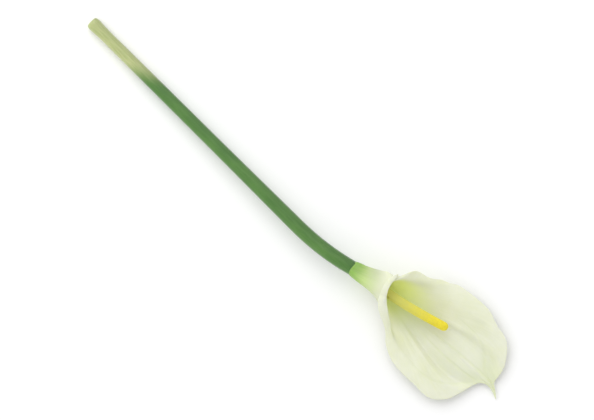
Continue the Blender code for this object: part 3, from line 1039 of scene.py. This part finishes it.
def stem_line(bed):
    """The stem's middle line, from the cut end, which rests on the bed, to the peg's end."""
    share = np.linspace(0.0, 1.0, LINE_POINTS)[:, None]
    lift = CUT_END_DEPTH * (STEM_RADIUS + CUT_END_SWELLING)
    cut_end = np.array((*STEM_CUT_END, bed + lift))
    run, bend = STEM_BEND - cut_end, FOOT - STEM_BEND
    reach = np.linalg.norm(bend)
    top = heading(FOOT_HEADING, FOOT_PITCH)
    straight = cut_end + run * share
    bent = hermite(STEM_BEND, run / np.linalg.norm(run) * reach, FOOT, top * reach, share)
    peg = FOOT + top * PEG_LENGTH * share
    return np.concatenate((straight[:-1], bent[:-1], peg))


def stem_profile(length):
    """Distances along the stem and its radius there: hollowed cut face, shaft and peg."""
    neck = length - PEG_LENGTH - FOOT_TONGUE
    swollen = STEM_RADIUS + CUT_END_SWELLING
    return np.array((
        # distance, radius, which at the neck leaves room for the foot of the spathe
        (0.45, 0.0),
        (0.38, swollen * 0.33),
        (0.16, swollen * 0.55),
        (0.0, swollen - 1.45),
        (0.12, swollen - 1.1),
        (0.5, swollen - 0.72),
        (1.3, swollen - 0.38),
        (2.6, swollen - 0.12),
        (4.0, swollen - 0.1),
        (7.0, swollen - 0.35),
        (13.0, STEM_RADIUS),
        (25.0, STEM_RADIUS + 0.05),
        (neck / 2, (STEM_RADIUS + STEM_RADIUS_TOP) / 2 - 0.1),
        (neck - 6.0, STEM_RADIUS_TOP - 0.1),
        (neck + 1.0, STEM_RADIUS_TOP - 0.15),
        (neck + 2.2, STEM_RADIUS_TOP - 0.2),
        (neck + 3.4, PEG_RADIUS),
        (length - 1.0, PEG_RADIUS),
        (length, 0.0),
    ))


def make_stem(line):
    """A ribbed tube along the line, whose skin is mapped from the rim of the cut face on."""
    profile = stem_profile(distances_along(line)[-1])
    reached = distances_along(profile)
    runs = [np.linspace(start, end, math.ceil((end - start) / STEM_SPACING) + 1)[:-1]
            for start, end in zip(reached, reached[1:])]
    along = np.concatenate((*runs, reached[-1:]))
    distances, radii = through(np.column_stack((reached, profile)), along).T
    middles, directions = along_line(line, distances)
    sides = np.cross((0.0, 0.0, 1.0), directions)
    sides /= np.linalg.norm(sides, axis=1)[:, None]
    ups = np.cross(directions, sides)
    across = np.linspace(0.0, 1.0, STEM_SIDES + 1)
    turn = 2 * np.pi * across[:, None]
    ribbed = 1 + STEM_RIB_SHARE / 2 * np.cos(turn * STEM_RIBS)
    points = np.array([
        middle + max(radius, 0.0) * ribbed * (np.sin(turn) * side - np.cos(turn) * up)
        for middle, radius, side, up in zip(middles, radii, sides, ups)
    ])
    rim = reached[profile[:, 0].argmin()]
    mesh = sheet_mesh("stem_shaft", points, across, along - rim)
    mesh.materials.append(look_of("stem", stem_skin))
    show(mesh, "stem")


# ------------------------------------------------------------------ the spadix

def spadix_line(stem_end):
    """The middle line of the spadix, from just off the end of the stem to its tip."""
    share = np.linspace(0.0, 1.0, LINE_POINTS)[:, None]
    start = stem_end + SPADIX_GAP * heading(FOOT_HEADING, FOOT_PITCH)
    reach = np.linalg.norm(SPADIX_TIP - start)
    return hermite(
        start, heading(*SPADIX_START) * reach, SPADIX_TIP, heading(*SPADIX_END) * reach, share
    )


def geometry_tree(name, inputs):
    """A Geometry Nodes tree with these named inputs, and the outlets where they arrive."""
    group = bpy.data.node_groups.new(name, "GeometryNodeTree")
    group.interface.new_socket("Geometry", in_out="OUTPUT", socket_type="NodeSocketGeometry")
    for title, kind in inputs.items():
        group.interface.new_socket(title, in_out="INPUT", socket_type="NodeSocket" + kind)
    tree = Tree(group)
    arriving = tree.node("NodeGroupInput", None, None, next(iter(inputs)))
    return tree, [arriving.other(title) for title in inputs]


def spadix_tree():
    """Florets in a golden-angle spiral on a shaft with a round tip, over a fleshy core."""
    tree, (line, count, base_radius, tip_radius, floret_radius, look) = geometry_tree("spadix", {
        "Line": "Geometry",
        "Florets": "Int",
        "Base Radius": "Float",
        "Tip Radius": "Float",
        "Floret Radius": "Float",
        "Look": "Material",
    })
    length = tree.node("GeometryNodeCurveLength", None, {"Curve": line})

    def into_tip(reached):
        return tree.maths("MAXIMUM", (reached - length) / tip_radius + 1.0, 0.0)

    def radius_at(reached):
        taper = base_radius + (tip_radius - base_radius) * reached / length
        return taper * tree.maths("SQRT", 1 - into_tip(reached) ** 2)

    index = tree.node("GeometryNodeInputIndex")
    reached = (index + 0.5) / count * length
    middle = tree.node(
        "GeometryNodeSampleCurve", {"mode": "LENGTH"}, {"Curves": line, "Length": reached},
        "Position"
    )
    ahead, side = middle.other("Tangent"), middle.other("Normal")
    angle = index * GOLDEN_ANGLE
    round_line = tree.vector(
        "ADD",
        tree.stretched(side, tree.maths("COSINE", angle)),
        tree.stretched(tree.vector("CROSS_PRODUCT", ahead, side), tree.maths("SINE", angle)),
    )
    to_skin = tree.stretched(round_line, radius_at(reached))
    to_front = tree.stretched(ahead, into_tip(reached) * tip_radius)
    points = tree.node(
        "GeometryNodePoints", None,
        {"Count": count, "Position": tree.vector("ADD", middle, to_skin)}
    )
    ball = tree.node(
        "GeometryNodeMeshUVSphere", None,
        {"Segments": FLORET_SEGMENTS, "Rings": FLORET_RINGS, "Radius": floret_radius}
    )
    facing = tree.node(
        "FunctionNodeAlignRotationToVector", {"axis": "Z"},
        {"Vector": tree.vector("ADD", to_skin, to_front)}
    )
    sizes = tree.random(*FLORET_SIZES, FLORET_SIZE_SEED)
    florets = tree.node(
        "GeometryNodeInstanceOnPoints", None,
        {
            "Points": points,
            "Instance": ball,
            "Rotation": facing,
            "Scale": tree.stretched((1.0, 1.0, FLORET_HEIGHT), sizes),
        }
    )
    tints = tree.random(0.0, 1.0, FLORET_TINT_SEED)
    florets = tree.keep(florets, "INSTANCE", "tint", tints)
    florets = tree.keep(florets, "INSTANCE", "height", reached / length)

    rings = tree.node("GeometryNodeResampleCurve", None, {"Curve": line, "Count": CORE_RINGS})
    climbed = tree.node("GeometryNodeSplineParameter", None, None, "Length")
    girth = radius_at(climbed) - floret_radius * FLORET_SUNK
    core = tree.keep(rings, "POINT", "height", climbed / length)
    section = tree.node(
        "GeometryNodeCurvePrimitiveCircle", None, {"Resolution": CORE_SIDES, "Radius": 1.0}
    )
    core = tree.node(
        "GeometryNodeCurveToMesh", None,
        {"Curve": core, "Profile Curve": section, "Scale": girth, "Fill Caps": True}
    )
    tree.finish((florets, core), look)
    return tree.tree


def grow_mesh(name, source, group, values):
    """Run a Geometry Nodes tree on an object's geometry and keep the result as a mesh."""
    grower = source.modifiers.new(name, "NODES")
    grower.node_group = group
    for socket in group.interface.items_tree:
        if socket.name in values:
            grower[socket.identifier] = values[socket.name]
    depsgraph = bpy.context.evaluated_depsgraph_get()
    mesh = bpy.data.meshes.new_from_object(source.evaluated_get(depsgraph))
    bpy.data.objects.remove(source, do_unlink=True)
    mesh.name = name
    return mesh


def make_spadix(stem_end):
    """The finger of florets, grown along its line by a Geometry Nodes tree."""
    line = bpy.data.curves.new("spadix line", "CURVE")
    line.dimensions = "3D"
    spline = line.splines.new("POLY")
    places = SHIFT + MM * spadix_line(stem_end)
    spline.points.add(len(places) - 1)
    for point, place in zip(spline.points, places):
        point.co = (*place, 1.0)
    source = bpy.data.objects.new("spadix line", line)
    bpy.context.scene.collection.objects.link(source)
    mesh = grow_mesh("spadix_florets", source, spadix_tree(), {
        "Florets": FLORETS,
        "Base Radius": SPADIX_RADIUS * MM,
        "Tip Radius": SPADIX_RADIUS_TIP * MM,
        "Floret Radius": FLORET_RADIUS * MM,
        "Look": look_of("spadix", spadix_skin),
    })
    mesh.shade_smooth()
    show(mesh, "spadix")


# ------------------------------------------------------------------ the scene

def make_floor(height):
    """A wide pale table top, which isn't part of the flower."""
    shape = bmesh.new()
    bmesh.ops.create_grid(shape, x_segments=1, y_segments=1, size=FLOOR_SIZE / 2)
    bmesh.ops.translate(shape, verts=shape.verts, vec=(0.0, 0.0, height))
    mesh = bpy.data.meshes.new("table_top")
    shape.to_mesh(mesh)
    shape.free()
    mesh.materials.append(look_of("table", table_skin))
    floor = bpy.data.objects.new("table_top", mesh)
    bpy.context.scene.collection.objects.link(floor)


def look_from(thing, place, target, upwards):
    """Put a lamp or the camera at a place, facing the target, with upwards at its top."""
    back = (place - target) / np.linalg.norm(place - target)
    right = np.cross(upwards, back)
    right /= np.linalg.norm(right)
    axes = np.column_stack((right, np.cross(back, right), back))
    thing.matrix_world = Matrix.Translation(place) @ Matrix(axes.tolist()).to_4x4()


def make_lights(target):
    """One broad soft box over the top of the view, and even light from all around."""
    lamp = bpy.data.lights.new("soft box", "AREA")
    lamp.shape = "SQUARE"
    lamp.size = SOFT_BOX_SIZE
    lamp.energy = SOFT_BOX_POWER
    soft_box = bpy.data.objects.new("soft box", lamp)
    bpy.context.scene.collection.objects.link(soft_box)
    place = target + SOFT_BOX_DISTANCE * heading(SOFT_BOX_HEADING, SOFT_BOX_HEIGHT)
    look_from(soft_box, place, target, np.array((0.0, 0.0, 1.0)))
    world = bpy.data.worlds.new("studio")
    world.use_nodes = True
    surround = world.node_tree.nodes["Background"]
    surround.inputs["Color"].default_value = (1.0, 1.0, 1.0, 1.0)
    surround.inputs["Strength"].default_value = SURROUND
    bpy.context.scene.world = world
    bpy.context.scene.view_settings.view_transform = "Standard"


def make_camera(target):
    """Straight above, turned so that the stem runs down to the right corner."""
    lens = bpy.data.cameras.new("camera")
    lens.sensor_width = SENSOR_WIDTH
    lens.lens = SENSOR_WIDTH * CAMERA_HEIGHT / VIEW_WIDTH
    camera = bpy.data.objects.new("camera", lens)
    bpy.context.scene.collection.objects.link(camera)
    place = target + (0.0, 0.0, CAMERA_HEIGHT)
    look_from(camera, place, target, heading(CAMERA_TURN + 90.0))
    bpy.context.scene.camera = camera


def main():
    """The flower on its table, with the lights and the camera over the middle of it."""
    low, high = (np.array(corner) for corner in CAD_BOX)
    make_spathe()
    bed = (low[2] - SHIFT[2]) / MM
    line = stem_line(bed)
    make_stem(line)
    make_spadix(line[-1])
    make_floor(low[2])
    middle = (low + high) / 2 * (1.0, 1.0, 0.0)
    make_lights(middle)
    make_camera(middle + VIEW_SHIFT)


main()
